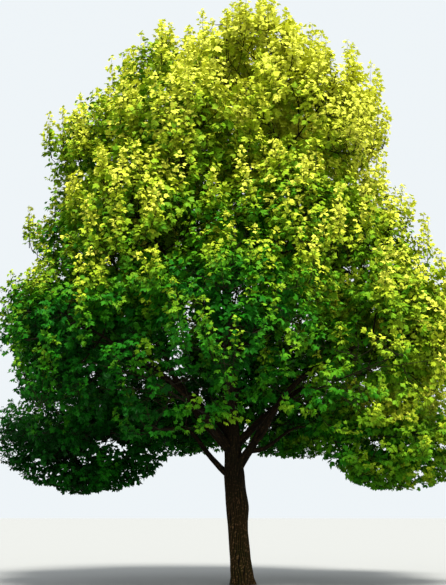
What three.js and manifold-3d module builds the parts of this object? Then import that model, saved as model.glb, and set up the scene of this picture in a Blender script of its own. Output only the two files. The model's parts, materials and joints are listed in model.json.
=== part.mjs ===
// A maple tree in full leaf, 12.6 m tall and about 10.5 m wide, for a park or a street.
// One trunk leans and forks into boughs, and each bough carries one mass of foliage.
// Millimetres, +Z up. The origin is on the ground, at the middle of the trunk's flat cut.
import * as THREE from 'three';
import { mergeVertices } from 'three/addons/utils/BufferGeometryUtils.js';
import Module from 'manifold-3d';

const wasm = await Module();
wasm.setup();

// Driving sizes of the whole tree
const treeHeight = 12600;
const trunkHeight = 9750; // the tip mass grows on from here
const clearGap = 0.3; // between pieces that meet
const spaceMargin = 12; // from a mass's leaves to the plane it shares with a neighbour

// The trunk's middle line leans left by leanRate and comes back by leanReturn
const leanRate = 0.085;
const leanReturn = 5.3e-6;
const bowDepth = 45; // sideways bow of the trunk, front to back
const trunkRadii = [
  [0, 262], [180, 232], [600, 212], [1150, 205], [1600, 214], [2200, 214], [2650, 178],
  [3400, 150], [4800, 122], [6400, 92], [8000, 62], [trunkHeight, 38],
];
const trunkSides = 12;
const trunkRings = 19;
const ringCrowding = 0.35;
const flareLobes = 5;
const flareDepth = 0.13; // share of the radius, at the ground
const flareHeight = 260;
const burlHeight = 1600; // a swelling on the trunk's right side
const burlDepth = 42;
const burlSpread = 260;

// The crown's middle line drifts left with height
const crownDrift = 0.04;

// Tiers of foliage from the lowest up. heart and reach place the middles of the masses, radii are
// their half sizes outward, across and upward. Their boughs leave the trunk between two heights, or
// the bough before theirs in the tier above at a share of its length, rising at a slope in degrees,
// and enter their masses at another slope.
const tiers = [
  { name: 'skirt', count: 6, first: 0, heart: 3400, reach: 3300, radii: [2000, 2600, 1300],
    along: 0.2, radius: 60, slope: 8, entry: 12 },
  { name: 'waist', count: 6, first: 30, heart: 5150, reach: 3650, radii: [1750, 2600, 1950],
    leave: [2450, 3500], radius: 88, slope: 46, entry: 24 },
  { name: 'shoulder', count: 6, first: 0, heart: 7150, reach: 2900, radii: [1700, 2450, 1800],
    leave: [4100, 5500], radius: 72, slope: 55, entry: 34 },
  { name: 'upper', count: 5, first: 36, heart: 9150, reach: 2350, radii: [1650, 2300, 1850],
    leave: [5800, 7300], radius: 56, slope: 58, entry: 40 },
  { name: 'top', count: 3, first: 60, heart: 10400, reach: 1400, radii: [1600, 2100, 1700],
    leave: [7700, 8900], radius: 42, slope: 62, entry: 50 },
];
const tipRadii = [1300, 1300, 1700];

// The lowest tier hangs to the sides and is lifted and thinner in front and behind
const skirtLift = 540;
const skirtThinning = 260;

// How far chance moves a mass
const turnPlay = 9; // degrees
const heartPlay = 270;
const reachPlay = 170;
const wayPlay = 14; // degrees that a bough's start turns aside

// Boughs that differ from their tier's rule, named by their masses
const ownBoughs = {
  foliage_skirt_4: { leave: 2190, slope: 18, radius: 78 }, // low left, rising
  foliage_waist_6: { leave: 2290, slope: 50, radius: 104 }, // the fork's right limb
  foliage_skirt_1: { slope: -12, radius: 52 }, // long and low, right
  foliage_skirt_6: { from: 'bough_waist_6', along: 0.28, slope: 2, radius: 44 },
  foliage_shoulder_4: { leave: 2720, slope: 40, radius: 96 }, // steep, left
  foliage_shoulder_1: { leave: 4700, slope: 40, radius: 78 }, // the leader's right fork
};

// Masses that differ from their tier's rule
const ownMasses = {
  foliage_shoulder_1: { reach: -300 }, // drawn in on the right
  foliage_shoulder_4: { entry: 60 },
  foliage_upper_3: { reach: 150 }, // stands out to the left
  foliage_skirt_1: { lift: -250, entry: -2 }, // hangs low on the right
  foliage_skirt_4: { lift: -150, entry: -4 },
};
const boughTipShare = 0.42; // tip radius against radius at the fork
const collarSwell = 0.45; // swelling of a bough where it leaves its carrier
const boughSides = 6;
const boughSteps = 5;

// Foliage: a core, a stem, pairs of twigs and leaf blades that each stand for a spray
const coreShare = 0.47; // of the way to the space's outside
const coreFill = 0.74; // of the way to a neighbour
const corePlay = 0.14;
const twigNodes = [
  { at: 0.34, spread: 80, turn: 0, hands: [0, -1, 1] },
  { at: 0.5, spread: 78, turn: 90, hands: [-1, 1] },
  { at: 0.62, spread: 48, turn: 8, hands: [-1, 1] },
];
const twigPlay = 10; // degrees
const twigRadius = 26;
const leafShare = 0.64; // a leaf's length against the mean half size of its mass
const twigLeafShare = 0.72; // share of a leaf's length kept free beyond a twig's end
const leafThickness = 0.022; // share of the length
const leafSpread = 50; // degrees from a twig to each leaf of the pair at its end
const widePairSpread = 74; // the same where a third leaf points straight on
const widePairSetback = 420; // from the third leaf's root back to the pair's
const leafSink = 45; // from a leaf's root to the twig's end
const leafPlay = 12; // degrees
const leafRoll = 40; // degrees
const leafClearance = 6; // from a leaf to any limb
const leafFit = 0.998; // share of the way out that the furthest leaf reaches
const shorterLeaves = [1, 0.84, 0.7]; // tried in turn until a leaf fits
const shortestTwig = 100;

const barkMaterial = new THREE.MeshStandardMaterial({ color: 0x3b2f22, roughness: 0.95, metalness: 0 });
const leafColours = [0x1f4410, 0x2f5a12, 0x466f16, 0x64891d, 0x8da52a, 0x9bb12f];

// A repeatable number from 0 to 1 for up to three whole-number keys
function chance(first, second = 0, third = 0) {
  const wave = Math.sin(first * 12.9898 + second * 78.233 + third * 37.719 + 4.7) * 43758.5453;
  return wave - Math.floor(wave);
}

// The same spread evenly from -1 to 1
function swing(first, second = 0, third = 0) {
  return 2 * chance(first, second, third) - 1;
}

const radians = THREE.MathUtils.degToRad;
const up = new THREE.Vector3(0, 0, 1);

// A unit vector for an azimuth round the trunk and an angle above level, in degrees
function heading(azimuth, elevation = 0) {
  const level = Math.cos(radians(elevation));
  return new THREE.Vector3(
    level * Math.cos(radians(azimuth)),
    level * Math.sin(radians(azimuth)),
    Math.sin(radians(elevation)),
  );
}

// A value read from a list of [height, value] steps, joined smoothly
function readProfile(profile, height) {
  const next = profile.findIndex(([z]) => z >= height);
  if (next <= 0) {
    return next === 0 ? profile[0][1] : profile[profile.length - 1][1];
  }
  const [z0, v0] = profile[next - 1];
  const [z1, v1] = profile[next];
  return THREE.MathUtils.lerp(v0, v1, THREE.MathUtils.smoothstep(height, z0, z1));
}

// The middle of the trunk at a height
function trunkMiddle(height) {
  const lean = -leanRate * height + leanReturn * height * height;
  const bow = bowDepth * Math.sin((Math.PI * height) / (trunkHeight * 0.6));
  return new THREE.Vector3(lean, bow, height);
}

// A closed mesh becomes a solid: corners are merged and faces without area are dropped
function toSolid(geometry) {
  const bare = new THREE.BufferGeometry();
  bare.setAttribute('position', geometry.getAttribute('position').clone());
  if (geometry.index) {
    bare.setIndex(geometry.index.clone());
  }
  const merged = mergeVertices(bare, 1e-3);
  const corners = merged.index.array;
  const faces = [];
  for (let i = 0; i < corners.length; i += 3) {
    const [a, b, c] = [corners[i], corners[i + 1], corners[i + 2]];
    if (a !== b && b !== c && c !== a) {
      faces.push(a, b, c);
    }
  }
  return new wasm.Manifold(new wasm.Mesh({
    numProp: 3,
    vertProperties: Float32Array.from(merged.getAttribute('position').array),
    triVerts: Uint32Array.from(faces),
  }));
}

// A turned body with a number of sides and steps, each corner then put in place by a function of
// its share of the length, its angle round the body and whether it lies on the body's middle line
function turnedSolid(sides, steps, placeCorner) {
  const profile = [new THREE.Vector2(0, 0)];
  for (let i = 0; i <= steps; i += 1) {
    profile.push(new THREE.Vector2(1, i));
  }
  profile.push(new THREE.Vector2(0, steps));
  const turned = new THREE.LatheGeometry(profile, sides);
  const place = turned.getAttribute('position');
  const corner = new THREE.Vector3();
  for (let i = 0; i < place.count; i += 1) {
    corner.fromBufferAttribute(place, i);
    const isMiddle = Math.hypot(corner.x, corner.z) < 0.5;
    const angle = Math.atan2(corner.z, corner.x);
    const { x, y, z } = placeCorner(Math.round(corner.y) / steps, angle, isMiddle);
    place.setXYZ(i, x, y, z);
  }
  const solid = toSolid(turned);
  if (solid.volume() > 0) {
    return solid;
  }
  turned.index.array.reverse();
  return toSolid(turned);
}

// A limb follows a curve. radiusAt gives its radius for a share of its length, and grow widens it
// all round and at both ends.
function limbSolid(curve, radiusAt, sides, steps, grow = 0) {
  const frames = curve.computeFrenetFrames(steps, false);
  return turnedSolid(sides, steps, (share, angle, isMiddle) => {
    const step = Math.round(share * steps);
    const radius = isMiddle ? 0 : radiusAt(share) + grow;
    const overrun = grow * (Number(share === 1) - Number(share === 0));
    return curve.getPointAt(share)
      .addScaledVector(frames.tangents[step], overrun)
      .addScaledVector(frames.normals[step], radius * Math.cos(angle))
      .addScaledVector(frames.binormals[step], radius * Math.sin(angle));
  });
}

// The trunk's radius, with root flare in lobes at the ground and the swelling on its right side
function trunkRadius(height, angle) {
  const flare = flareDepth * Math.exp(-height / flareHeight) * Math.cos(flareLobes * angle + 0.6);
  const away = (height - burlHeight) / burlSpread;
  const burl = burlDepth * Math.exp(-away * away) * Math.max(0, Math.cos(angle));
  return readProfile(trunkRadii, height) * (1 + flare) + burl;
}

// The trunk is made of level rings, closer together near its flat cut at the ground
function makeTrunk(grow = 0) {
  return turnedSolid(trunkSides, trunkRings, (share, angle, isMiddle) => {
    const height = trunkHeight * THREE.MathUtils.lerp(share, share ** 2, ringCrowding);
    const radius = isMiddle ? 0 : trunkRadius(height, angle) + grow;
    const corner = trunkMiddle(height);
    corner.x += radius * Math.cos(angle);
    corner.y += radius * Math.sin(angle);
    corner.z += grow * Number(share === 1);
    return corner;
  });
}

// The masses: each has a heart, three half sizes and the directions they are measured in
function planMasses() {
  const masses = [];
  tiers.forEach((tier, row) => {
    for (let k = 0; k < tier.count; k += 1) {
      const key = masses.length + 1;
      const name = `foliage_${tier.name}_${k + 1}`;
      const own = ownMasses[name] ?? {};
      const azimuth = tier.first + (360 / tier.count) * k + turnPlay * swing(key, 1);
      const outward = heading(azimuth);
      const frontBack = row === 0 ? Math.abs(Math.sin(radians(azimuth))) : 0;
      const lift = skirtLift * frontBack + (own.lift ?? 0);
      const height = tier.heart + lift + heartPlay * swing(key, 2);
      const reach = tier.reach + (own.reach ?? 0) + reachPlay * swing(key, 3);
      const heart = outward.clone().multiplyScalar(reach);
      heart.x -= crownDrift * height;
      heart.z = height;
      masses.push({
        key, row, place: k, name, azimuth, heart, tier,
        radii: [tier.radii[0], tier.radii[1], tier.radii[2] - skirtThinning * frontBack],
        axes: [outward, new THREE.Vector3().crossVectors(up, outward), up],
        stemWay: heading(azimuth, own.entry ?? tier.entry),
      });
    }
  });
  const tipMiddle = trunkMiddle(trunkHeight);
  masses.push({
    key: masses.length + 1, row: tiers.length, name: 'foliage_tip',
    heart: new THREE.Vector3(tipMiddle.x, tipMiddle.y, treeHeight - tipRadii[2]), radii: tipRadii,
    axes: [heading(0), heading(90), up], stemWay: up,
  });
  return masses;
}

// A mass's space: an ellipsoid cut by one plane for each neighbour, halfway between the two
function cutSpaces(masses) {
  for (const mass of masses) {
    mass.leafLength = (leafShare * (mass.radii[0] + mass.radii[1] + mass.radii[2])) / 3;
    mass.planes = [];
    for (const other of masses) {
      const across = new THREE.Vector3().subVectors(other.heart, mass.heart);
      const distance = across.length();
      if (other !== mass) {
        mass.planes.push({ normal: across.divideScalar(distance), depth: distance / 2 - spaceMargin });
      }
    }
  }
}

// How far a ray from a point inside a space runs to the ellipsoid and to the nearest plane
function rayReaches(mass, point, direction) {
  const from = new THREE.Vector3().subVectors(point, mass.heart);
  let [a, b, c] = [0, 0, -1];
  mass.axes.forEach((axis, i) => {
    const step = direction.dot(axis) / mass.radii[i];
    const start = from.dot(axis) / mass.radii[i];
    a += step * step;
    b += step * start;
    c += start * start;
  });
  const round = (-b + Math.sqrt(Math.max(0, b * b - a * c))) / a;
  const flat = mass.planes.map(({ normal, depth }) => {
    const toward = direction.dot(normal);
    return toward > 1e-6 ? (depth - from.dot(normal)) / toward : Infinity;
  });
  return [round, Math.min(...flat)];
}

// How far a ray from a point inside a space runs before it leaves the space
function rayReach(mass, point, direction) {
  return Math.max(0, Math.min(...rayReaches(mass, point, direction)));
}

// Whether a point lies in a mass's space
function isInside(mass, point) {
  const from = new THREE.Vector3().subVectors(point, mass.heart);
  const size = mass.axes.reduce((sum, axis, i) => sum + (from.dot(axis) / mass.radii[i]) ** 2, 0);
  return size <= 1 && mass.planes.every(({ normal, depth }) => from.dot(normal) <= depth);
}

// The foot of a mass, where its stem begins, at the inner side of its space or on the trunk's tip
function findFoot(mass) {
  if (mass.tier) {
    const back = mass.stemWay.clone().negate();
    mass.foot = mass.heart.clone().addScaledVector(back, rayReach(mass, mass.heart, back) * 0.98);
  } else {
    mass.foot = trunkMiddle(trunkHeight).addScaledVector(up, clearGap);
    mass.stemRadius = trunkRadius(trunkHeight, 0);
  }
}

// A bough's curve leaves its carrier on a heading and comes to its mass's foot along the stem
function boughCurve(start, way, mass) {
  const end = mass.foot.clone().addScaledVector(mass.stemWay, -clearGap);
  const span = start.distanceTo(end);
  return new THREE.CubicBezierCurve3(
    start,
    start.clone().addScaledVector(way, span * 0.36),
    end.clone().addScaledVector(mass.stemWay, -span * 0.3),
    end,
  );
}

// A bough's radius: swollen at its foot, then an even taper
function boughRadius(radius) {
  return (share) => {
    const taper = THREE.MathUtils.lerp(1, boughTipShare, share ** 0.8);
    return radius * (taper + collarSwell * Math.exp(-share * 14));
  };
}

// The plan of each bough: its mass, where it leaves the trunk or another bough, and its sizes
function planBoughs(masses) {
  const plans = masses.filter((mass) => mass.tier).map((mass) => {
    const { tier, key } = mass;
    const own = ownBoughs[mass.name] ?? {};
    const before = (mass.place + tiers[1].count - 1) % tiers[1].count;
    const ruled = tier.along && !own.leave ? `bough_${tiers[1].name}_${before + 1}` : null;
    const spread = (key * 0.618) % 1; // spreads the forks of a tier over their heights
    return {
      mass,
      name: mass.name.replace('foliage', 'bough'),
      from: own.from ?? ruled,
      along: own.along ?? tier.along,
      leave: own.leave ?? (tier.leave && THREE.MathUtils.lerp(...tier.leave, spread)),
      way: heading(mass.azimuth + wayPlay * swing(key, 7), own.slope ?? tier.slope),
      radius: own.radius ?? tier.radius,
    };
  });
  return [...plans.filter(({ from }) => !from), ...plans.filter(({ from }) => from)];
}

// All boughs, from the trunk outward, each cut clear of the limbs made before it
function makeBoughs(masses, limbs) {
  const curves = {};
  for (const { mass, name, from, along, leave, way, radius } of planBoughs(masses)) {
    const start = from ? curves[from].getPointAt(along) : trunkMiddle(leave);
    curves[name] = boughCurve(start, way, mass);
    const radiusAt = boughRadius(radius);
    mass.stemRadius = radiusAt(1);
    const grown = (grow) => limbSolid(curves[name], radiusAt, boughSides, boughSteps, grow);
    const whole = grown(0);
    const near = Object.values(limbs).filter((limb) => boxesMeet(limb.grown, whole));
    const cut = near.reduce((rest, limb) => rest.subtract(limb.grown), whole);
    limbs[name] = { solid: keepLargest(cut), grown: grown(clearGap * 1.3), wide: grown(leafClearance) };
  }
}

// Whether two solids' boxes meet
function boxesMeet(one, other) {
  const [a, b] = [one.boundingBox(), other.boundingBox()];
  return [0, 1, 2].every((i) => a.min[i] <= b.max[i] && b.min[i] <= a.max[i]);
}

// The largest body of a solid, with sealed hollows filled and loose scraps dropped
function keepLargest(solid) {
  const bodies = solid.simplify(0.2).decompose();
  return bodies.reduce((best, body) => (body.volume() > best.volume() ? body : best));
}

// The core of a mass: a rough ball that keeps well inside its space
function makeCore(mass) {
  const ball = new THREE.IcosahedronGeometry(1, 1);
  const place = ball.getAttribute('position');
  const direction = new THREE.Vector3();
  for (let i = 0; i < place.count; i += 1) {
    direction.fromBufferAttribute(place, i).normalize();
    const spot = direction.toArray().map((value) => Math.round(value * 100));
    const rough = 1 + corePlay * swing(spot[0] + mass.key, spot[1], spot[2]);
    const [round, flat] = rayReaches(mass, mass.heart, direction);
    const radius = Math.min(round * coreShare * rough, flat * coreFill);
    const corner = mass.heart.clone().addScaledVector(direction, radius);
    place.setXYZ(i, corner.x, corner.y, corner.z);
  }
  return toSolid(ball);
}

// A leaf blade, thickest at its middle, from its root along a direction
function makeLeaf(root, along, face, length) {
  const across = new THREE.Vector3().crossVectors(along, face).normalize();
  const out = new THREE.Vector3().crossVectors(across, along).normalize();
  const outline = [[0, 0], [0.41, 0.5], [0, 1], [-0.41, 0.5]];
  const at = (x, y, z) => root.clone()
    .addScaledVector(across, x * length)
    .addScaledVector(along, y * length)
    .addScaledVector(out, z * length);
  const rim = outline.map(([x, y]) => at(x, y, 0));
  const [front, back] = [at(0, 0.42, leafThickness / 2), at(0, 0.42, -leafThickness / 2)];
  const corners = [...rim, front, back];
  const faces = [];
  outline.forEach((_, i) => {
    const next = (i + 1) % outline.length;
    faces.push(i, next, outline.length, next, i, outline.length + 1);
  });
  const geometry = new THREE.BufferGeometry().setFromPoints(corners);
  geometry.setIndex(faces);
  return { corners, solid: toSolid(geometry) };
}

// Leaves at a twig's end, for a list of hands: 0 points straight on, -1 and 1 to the sides
function leavesAt(mass, tip, along, hands, key, blocked) {
  const side = new THREE.Vector3().crossVectors(along, up);
  if (side.length() < 0.2) {
    side.copy(mass.axes[1]);
  }
  side.normalize();
  const hasMiddle = hands.includes(0);
  const spread = hasMiddle ? widePairSpread : leafSpread;
  const kept = [];
  hands.forEach((hand, i) => {
    const turn = radians(hand * (spread + leafPlay * swing(mass.key, key, i)));
    const pointing = along.clone().multiplyScalar(Math.cos(turn)).addScaledVector(side, Math.sin(turn));
    const roll = radians(leafRoll * swing(mass.key, key, i + 9));
    const face = mass.axes[0].clone().addScaledVector(up, 0.6).applyAxisAngle(pointing, roll);
    const setback = leafSink + (hasMiddle && hand !== 0 ? widePairSetback : 0);
    const root = tip.clone().addScaledVector(along, -setback);
    for (const share of shorterLeaves) {
      const leaf = makeLeaf(root, pointing, face, mass.leafLength * share);
      const fits = leaf.corners.slice(1).every((corner) => isInside(mass, corner));
      if (fits && leaf.solid.intersect(blocked).isEmpty()) {
        kept.push(leaf.solid);
        break;
      }
    }
  });
  return kept;
}

// The limbs whose boxes come near a mass's space, joined, as grown for leaves to keep clear of
function limbsNear(mass, limbs) {
  const reach = Math.max(...mass.radii);
  const near = Object.values(limbs).map((limb) => limb.wide).filter((wide) => {
    const box = wide.boundingBox();
    return mass.heart.toArray().every((middle, i) => (
      box.min[i] <= middle + reach && middle - reach <= box.max[i]
    ));
  });
  return wasm.Manifold.union(near);
}

// One mass: a stem from its foot, opposite pairs of twigs that turn a quarter from pair to pair,
// and leaves at every end
function makeMass(mass, limbs) {
  const { key, foot, stemWay, axes, stemRadius, leafLength } = mass;
  const blocked = limbsNear(mass, limbs);
  const stemReach = rayReach(mass, foot, stemWay) * leafFit;
  const stemEnd = foot.clone().addScaledVector(stemWay, stemReach - leafLength + leafSink);
  const stemTaper = (share) => THREE.MathUtils.lerp(stemRadius, twigRadius, share);
  const pieces = [
    makeCore(mass).subtract(blocked),
    limbSolid(new THREE.LineCurve3(foot, stemEnd), stemTaper, boughSides, 1),
    ...leavesAt(mass, stemEnd, stemWay, [0, -1, 1], 0, blocked),
  ];
  const lift = new THREE.Vector3().crossVectors(stemWay, axes[1]).normalize();
  twigNodes.forEach((node, k) => {
    const start = foot.clone().addScaledVector(stemWay, stemReach * node.at);
    [-1, 1].forEach((hand, i) => {
      const turn = radians(node.turn + twigPlay * swing(key, k + 20, i));
      const spread = radians(hand * (node.spread + twigPlay * swing(key, k + 30, i)));
      const side = axes[1].clone().multiplyScalar(Math.cos(turn)).addScaledVector(lift, Math.sin(turn));
      const way = stemWay.clone().multiplyScalar(Math.cos(spread)).addScaledVector(side, Math.sin(spread));
      const beyond = leafLength * (node.hands.includes(0) ? 1 : twigLeafShare);
      const length = rayReach(mass, start, way) * leafFit - beyond + leafSink;
      if (length < shortestTwig) {
        return;
      }
      const tip = start.clone().addScaledVector(way, length);
      const twig = limbSolid(new THREE.LineCurve3(start, tip), () => twigRadius, 3, 1);
      if (twig.intersect(blocked).isEmpty()) {
        pieces.push(twig, ...leavesAt(mass, tip, way, node.hands, 2 * k + i + 1, blocked));
      }
    });
  });
  return keepLargest(wasm.Manifold.union(pieces));
}

// A solid becomes a named mesh with flat faces
function toMesh(name, solid, material) {
  const { numProp, vertProperties, triVerts } = solid.getMesh();
  const places = new Float32Array(triVerts.length * 3);
  triVerts.forEach((corner, i) => {
    places.set(vertProperties.slice(corner * numProp, corner * numProp + 3), i * 3);
  });
  const geometry = new THREE.BufferGeometry();
  geometry.setAttribute('position', new THREE.BufferAttribute(places, 3));
  geometry.computeVertexNormals();
  const mesh = new THREE.Mesh(geometry, material.clone());
  mesh.name = name;
  return mesh;
}

const tree = new THREE.Group();
const limbs = { trunk: { solid: makeTrunk(), grown: makeTrunk(clearGap), wide: makeTrunk(leafClearance) } };
const masses = planMasses();
cutSpaces(masses);
masses.forEach(findFoot);
makeBoughs(masses, limbs);

for (const [name, limb] of Object.entries(limbs)) {
  tree.add(toMesh(name, limb.solid, barkMaterial));
}
for (const mass of masses) {
  const leafMaterial = new THREE.MeshStandardMaterial({
    color: leafColours[mass.row], roughness: 0.6, metalness: 0,
  });
  tree.add(toMesh(mass.name, makeMass(mass, limbs), leafMaterial));
}

export default tree;
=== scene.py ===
# A maple tree in full leaf: bark, boughs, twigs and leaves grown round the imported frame.
# Metres, +Z up, with the origin on the ground at the middle of the trunk.
import json
import math

import bpy
import numpy as np
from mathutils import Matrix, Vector

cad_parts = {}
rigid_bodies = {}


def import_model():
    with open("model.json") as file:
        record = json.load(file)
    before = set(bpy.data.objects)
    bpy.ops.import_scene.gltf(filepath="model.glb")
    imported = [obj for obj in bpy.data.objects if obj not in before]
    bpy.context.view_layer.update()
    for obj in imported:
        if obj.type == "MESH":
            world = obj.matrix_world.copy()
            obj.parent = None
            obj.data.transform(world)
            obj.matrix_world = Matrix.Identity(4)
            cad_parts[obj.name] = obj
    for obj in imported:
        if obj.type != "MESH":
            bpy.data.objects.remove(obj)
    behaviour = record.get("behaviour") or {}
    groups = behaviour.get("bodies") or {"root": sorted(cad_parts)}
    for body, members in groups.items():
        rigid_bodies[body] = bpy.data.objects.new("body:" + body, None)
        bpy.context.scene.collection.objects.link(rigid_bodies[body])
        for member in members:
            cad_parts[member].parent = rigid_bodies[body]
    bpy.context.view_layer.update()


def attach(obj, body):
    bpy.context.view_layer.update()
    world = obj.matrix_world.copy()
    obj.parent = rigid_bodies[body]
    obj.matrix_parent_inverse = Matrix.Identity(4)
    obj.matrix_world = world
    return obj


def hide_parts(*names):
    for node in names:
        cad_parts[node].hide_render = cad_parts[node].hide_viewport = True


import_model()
up = np.array([0.0, 0.0, 1.0])
tiny = 1e-9                  # keeps directions from dividing by nothing
nearZero = 1e-6              # shorter than this counts as nothing
curveSteps = 201             # chords that measure a curve

# Camera: held at eye height and tilted up to the crown, as in the photograph
cameraSettings = {
    "distance": 28.0,       # from the trunk's foot
    "eyeHeight": 1.6,
    "focalPixels": 1330,    # focal length, in the photograph's pixels
    "pictureWidth": 446,
    "pictureHeight": 585,
    "horizonRow": 506,
    "trunkColumn": 242,
    "sensor": 36.0,         # long side, mm
    "farthest": 1000.0,
}


def makeCamera(settings):
    # tilt = atan(rows from the middle to the horizon / focal length); lens = focal share of the long side
    focal = settings["focalPixels"]
    height = settings["pictureHeight"]
    data = bpy.data.cameras.new("camera")
    data.sensor_width = settings["sensor"]
    data.lens = focal / height * settings["sensor"]
    data.clip_end = settings["farthest"]
    tilt = math.atan((settings["horizonRow"] - height / 2) / focal)
    aside = (settings["pictureWidth"] / 2 - settings["trunkColumn"]) / focal * settings["distance"]
    camera = bpy.data.objects.new("camera", data)
    camera.location = (aside, -settings["distance"], settings["eyeHeight"])
    camera.rotation_euler = (math.pi / 2 + tilt, 0.0, 0.0)
    bpy.context.scene.collection.objects.link(camera)
    bpy.context.scene.camera = camera


makeCamera(cameraSettings)
print("camera is set")


# Repeatable chance, the same as in the model's source

def chance(first, second=0.0, third=0.0):
    # fraction left of 43758.5453 sin(12.9898 a + 78.233 b + 37.719 c + 4.7), from 0 to 1;
    # a is a key, and b and c tell one use of it from another
    wave = np.sin(first * 12.9898 + second * 78.233 + third * 37.719 + 4.7) * 43758.5453
    return wave - np.floor(wave)


def swing(first, second=0.0, third=0.0):
    # the same spread evenly from -1 to 1
    return 2.0 * chance(first, second, third) - 1.0


# Small vector helpers, for one vector or for rows of them

def unit(vectors):
    # each vector divided by its own length
    return vectors / np.maximum(np.linalg.norm(vectors, axis=-1, keepdims=True), tiny)


def heading(azimuth, elevation=0.0):
    # (cos e cos a, cos e sin a, sin e), angles in degrees
    turn, rise = math.radians(azimuth), math.radians(elevation)
    return np.array([math.cos(rise) * math.cos(turn), math.cos(rise) * math.sin(turn), math.sin(rise)])


def mix(first, second, share):
    # first + (second - first) times the share
    return first + (second - first) * share


# The trunk, with its sizes as in the model
trunkSettings = {
    "height": 9.75,
    "leanRate": 0.085,       # leans left by this share of the height
    "leanReturn": 0.0053,    # and comes back by this share of the height squared
    "bow": 0.045,
    "bowSpan": 0.6,          # share of the height that one bow takes
    "steps": [0.0, 0.18, 0.6, 1.15, 1.6, 2.2, 2.65, 3.4, 4.8, 6.4, 8.0, 9.75],
    "radii": [0.262, 0.232, 0.212, 0.205, 0.214, 0.214, 0.178, 0.15, 0.122, 0.092, 0.062, 0.038],
    "flareLobes": 5,
    "flareTurn": 0.6,        # radians
    "flareDepth": 0.13,
    "flareHeight": 0.26,
    "burlHeight": 1.6,
    "burlDepth": 0.042,
    "burlSpread": 0.26,
    "sides": 192,
    "rows": 300,
    "crowding": 0.62,        # how much closer rows lie near the ground
    "furrows": 30,           # round the trunk
    "furrowDepth": 0.011,
    "furrowRadius": 0.2,     # furrows are that deep where the trunk is at least this thick
    "furrowLeast": 0.2,      # and keep this share of it at the tip
}


def trunkMiddle(height):
    # x = -leanRate h + leanReturn h^2, y = bow sin(pi h / (height bowSpan))
    height = np.asarray(height, float)
    lean = -trunkSettings["leanRate"] * height + trunkSettings["leanReturn"] * height ** 2
    bowHeight = trunkSettings["height"] * trunkSettings["bowSpan"]
    bow = trunkSettings["bow"] * np.sin(np.pi * height / bowHeight)
    return np.stack([lean, bow, height], axis=-1)


def readProfile(height):
    # radius read between two steps of the list by 3 s^2 - 2 s^3
    steps = np.array(trunkSettings["steps"])
    radii = np.array(trunkSettings["radii"])
    height = np.clip(height, 0.0, steps[-1])
    after = np.clip(np.searchsorted(steps, height), 1, len(steps) - 1)
    share = (height - steps[after - 1]) / (steps[after] - steps[after - 1])
    return mix(radii[after - 1], radii[after], share * share * (3.0 - 2.0 * share))


def trunkRadius(height, angle):
    # profile (1 + flare in lobes) + a swelling on the right side
    s = trunkSettings
    waves = np.cos(s["flareLobes"] * angle + s["flareTurn"])
    flare = s["flareDepth"] * np.exp(-height / s["flareHeight"]) * waves
    burl = np.exp(-((height - s["burlHeight"]) / s["burlSpread"]) ** 2) * np.maximum(0.0, np.cos(angle))
    return readProfile(height) * (1.0 + flare) + s["burlDepth"] * burl


# The masses of foliage and their boughs, with their sizes as in the model
tiers = [
    {"name": "skirt", "count": 6, "first": 0, "heart": 3.4, "reach": 3.3, "radii": (2.0, 2.6, 1.3),
     "along": 0.2, "leave": None, "radius": 0.06, "slope": 8, "entry": 12},
    {"name": "waist", "count": 6, "first": 30, "heart": 5.15, "reach": 3.65, "radii": (1.75, 2.6, 1.95),
     "along": None, "leave": (2.45, 3.5), "radius": 0.088, "slope": 46, "entry": 24},
    {"name": "shoulder", "count": 6, "first": 0, "heart": 7.15, "reach": 2.9, "radii": (1.7, 2.45, 1.8),
     "along": None, "leave": (4.1, 5.5), "radius": 0.072, "slope": 55, "entry": 34},
    {"name": "upper", "count": 5, "first": 36, "heart": 9.15, "reach": 2.35, "radii": (1.65, 2.3, 1.85),
     "along": None, "leave": (5.8, 7.3), "radius": 0.056, "slope": 58, "entry": 40},
    {"name": "top", "count": 3, "first": 60, "heart": 10.4, "reach": 1.4, "radii": (1.6, 2.1, 1.7),
     "along": None, "leave": (7.7, 8.9), "radius": 0.042, "slope": 62, "entry": 50},
]
crownSettings = {
    "treeHeight": 12.6,
    "tipRadii": (1.3, 1.3, 1.7),
    "drift": 0.04,
    "skirtLift": 0.54,
    "skirtThinning": 0.26,
    "turnPlay": 9.0,
    "heartPlay": 0.27,
    "reachPlay": 0.17,
    "wayPlay": 14.0,
    "margin": 0.012,
    "gap": 0.0003,
    "footShare": 0.98,       # of the way from a mass's heart back to the outside
    "leaveSpacing": 0.618,   # from bough to bough, as a share of the heights that a tier leaves at
    "leaveShare": 0.36,      # of its span that a bough keeps the way it leaves
    "arriveShare": 0.3,      # and the way it arrives
    "boughTipShare": 0.42,
    "taperPower": 0.8,
    "collarSwell": 0.45,
    "collarFade": 14,
}
ownBoughs = {
    "foliage_skirt_4": {"leave": 2.19, "slope": 18, "radius": 0.078},
    "foliage_waist_6": {"leave": 2.29, "slope": 50, "radius": 0.104},
    "foliage_skirt_1": {"slope": -12, "radius": 0.052},
    "foliage_skirt_6": {"from": "bough_waist_6", "along": 0.28, "slope": 2, "radius": 0.044},
    "foliage_shoulder_4": {"leave": 2.72, "slope": 40, "radius": 0.096},
    "foliage_shoulder_1": {"leave": 4.7, "slope": 40, "radius": 0.078},
}
ownMasses = {
    "foliage_shoulder_1": {"reach": -0.3},
    "foliage_shoulder_4": {"entry": 60},
    "foliage_upper_3": {"reach": 0.15},
    "foliage_skirt_1": {"lift": -0.25, "entry": -2},
    "foliage_skirt_4": {"lift": -0.15, "entry": -4},
    # sparse in front, so that the fork and boughs show: share of twigs kept at the bottom and at the top
    "foliage_skirt_5": {"fill": (0.05, 0.25)},
    "foliage_skirt_6": {"fill": (0.10, 0.35)},
    "foliage_waist_5": {"fill": (-0.1, 1.3)},
}


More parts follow.
